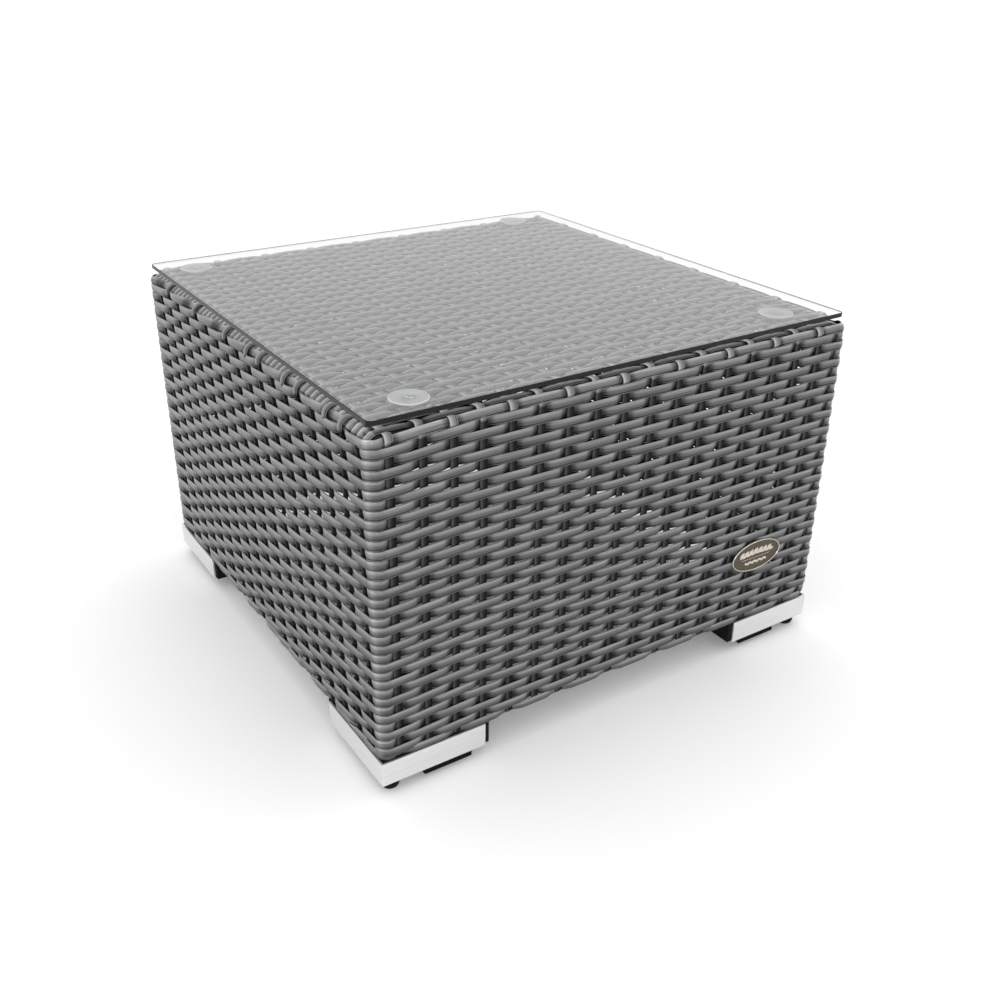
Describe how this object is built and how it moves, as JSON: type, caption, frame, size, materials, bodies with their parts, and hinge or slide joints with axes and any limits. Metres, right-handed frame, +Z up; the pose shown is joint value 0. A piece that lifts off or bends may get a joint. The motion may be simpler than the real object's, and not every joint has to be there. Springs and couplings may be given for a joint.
{
  "type": "coffee table",
  "caption": "Square low garden table: flat-strand woven box on a tube frame, loose clear glass top on clear discs, metal-clad corner feet with levelling glides.",
  "frame": {"origin": "on the ground under the middle of the table", "axes": "+Z up, the badge side faces -Y, +X is to the right of someone who looks at the badge"},
  "size_m": [0.6, 0.6, 0.41],
  "materials": {
    "woven_strand": "flat synthetic strand, grey, streaked along its length",
    "tube_paint": "dark powder coat",
    "clear_glass": "clear toughened glass with ground edges",
    "clear_vinyl": "clear soft vinyl",
    "brushed_aluminium": "brushed along its length",
    "black_plastic": "moulded, fine grain",
    "black_rubber": "matt",
    "zinc_steel": "zinc plated",
    "antique_bronze": "cast, darkened, with a polished rim"
  },
  "bodies": {
    "table": {"front_weave": "woven_strand", "back_weave": "woven_strand", "left_weave": "woven_strand", "right_weave": "woven_strand", "top_weave": "woven_strand", "corner_post_front_left": "tube_paint", "corner_post_front_right": "tube_paint", "corner_post_back_left": "tube_paint", "corner_post_back_right": "tube_paint", "top_rail_front": "tube_paint", "top_rail_back": "tube_paint", "top_rail_left": "tube_paint", "top_rail_right": "tube_paint", "bottom_rail_front": "tube_paint", "bottom_rail_back": "tube_paint", "bottom_rail_left": "tube_paint", "bottom_rail_right": "tube_paint", "top_cross_bar": "tube_paint", "foot_bracket_front_left": "tube_paint", "foot_bracket_front_right": "tube_paint", "foot_bracket_back_left": "tube_paint", "foot_bracket_back_right": "tube_paint", "glass_disc_near_left": "clear_vinyl", "glass_disc_near_right": "clear_vinyl", "glass_disc_far_left": "clear_vinyl", "glass_disc_far_right": "clear_vinyl", "foot_cover_front_left": "brushed_aluminium", "foot_cover_front_right": "brushed_aluminium", "foot_cover_back_left": "brushed_aluminium", "foot_cover_back_right": "brushed_aluminium", "foot_block_front_left": "black_plastic", "foot_block_front_right": "black_plastic", "foot_block_back_left": "black_plastic", "foot_block_back_right": "black_plastic", "foot_pad_front_left": "black_rubber", "foot_pad_front_right": "black_rubber", "foot_pad_back_left": "black_rubber", "foot_pad_back_right": "black_rubber", "threaded_insert_front_left": "zinc_steel", "threaded_insert_front_right": "zinc_steel", "threaded_insert_back_left": "zinc_steel", "threaded_insert_back_right": "zinc_steel", "foot_screw_front_left_1": "zinc_steel", "foot_screw_front_left_2": "zinc_steel", "foot_screw_front_right_1": "zinc_steel", "foot_screw_front_right_2": "zinc_steel", "foot_screw_back_left_1": "zinc_steel", "foot_screw_back_left_2": "zinc_steel", "foot_screw_back_right_1": "zinc_steel", "foot_screw_back_right_2": "zinc_steel", "badge": "antique_bronze"},
    "glass": {"glass_top": "clear_glass"},
    "glide_front_left": {"glide_base_front_left": "black_plastic"},
    "stud_front_left": {"glide_stud_front_left": "zinc_steel"},
    "glide_front_right": {"glide_base_front_right": "black_plastic"},
    "stud_front_right": {"glide_stud_front_right": "zinc_steel"},
    "glide_back_left": {"glide_base_back_left": "black_plastic"},
    "stud_back_left": {"glide_stud_back_left": "zinc_steel"},
    "glide_back_right": {"glide_base_back_right": "black_plastic"},
    "stud_back_right": {"glide_stud_back_right": "zinc_steel"}
  },
  "joints": [
    {"name": "glass_lift", "type": "slide", "parent": "table", "child": "glass", "axis": [0, 0, 1], "range_m": [0, 0.06]},
    {"name": "glide_travel_front_left", "type": "slide", "parent": "table", "child": "glide_front_left", "axis": [0, 0, -1], "range_m": [-0.0055, 0.008]},
    {"name": "glide_turn_front_left", "type": "hinge", "parent": "glide_front_left", "child": "stud_front_left", "pos_m": [-0.2845, -0.2845, 0], "axis": [0, 0, -1], "range_deg": [-1580, 2300]},
    {"name": "glide_travel_front_right", "type": "slide", "parent": "table", "child": "glide_front_right", "axis": [0, 0, -1], "range_m": [-0.0055, 0.008]},
    {"name": "glide_turn_front_right", "type": "hinge", "parent": "glide_front_right", "child": "stud_front_right", "pos_m": [0.2845, -0.2845, 0], "axis": [0, 0, -1], "range_deg": [-1580, 2300]},
    {"name": "glide_travel_back_left", "type": "slide", "parent": "table", "child": "glide_back_left", "axis": [0, 0, -1], "range_m": [-0.0055, 0.008]},
    {"name": "glide_turn_back_left", "type": "hinge", "parent": "glide_back_left", "child": "stud_back_left", "pos_m": [-0.2845, 0.2845, 0], "axis": [0, 0, -1], "range_deg": [-1580, 2300]},
    {"name": "glide_travel_back_right", "type": "slide", "parent": "table", "child": "glide_back_right", "axis": [0, 0, -1], "range_m": [-0.0055, 0.008]},
    {"name": "glide_turn_back_right", "type": "hinge", "parent": "glide_back_right", "child": "stud_back_right", "pos_m": [0.2845, 0.2845, 0], "axis": [0, 0, -1], "range_deg": [-1580, 2300]}
  ],
  "couplings": [
    {"joint": "glide_travel_front_left", "follows": "glide_turn_front_left", "m_per_rad": 0.00019894},
    {"joint": "glide_travel_front_right", "follows": "glide_turn_front_right", "m_per_rad": 0.00019894},
    {"joint": "glide_travel_back_left", "follows": "glide_turn_back_left", "m_per_rad": 0.00019894},
    {"joint": "glide_travel_back_right", "follows": "glide_turn_back_right", "m_per_rad": 0.00019894}
  ]
}
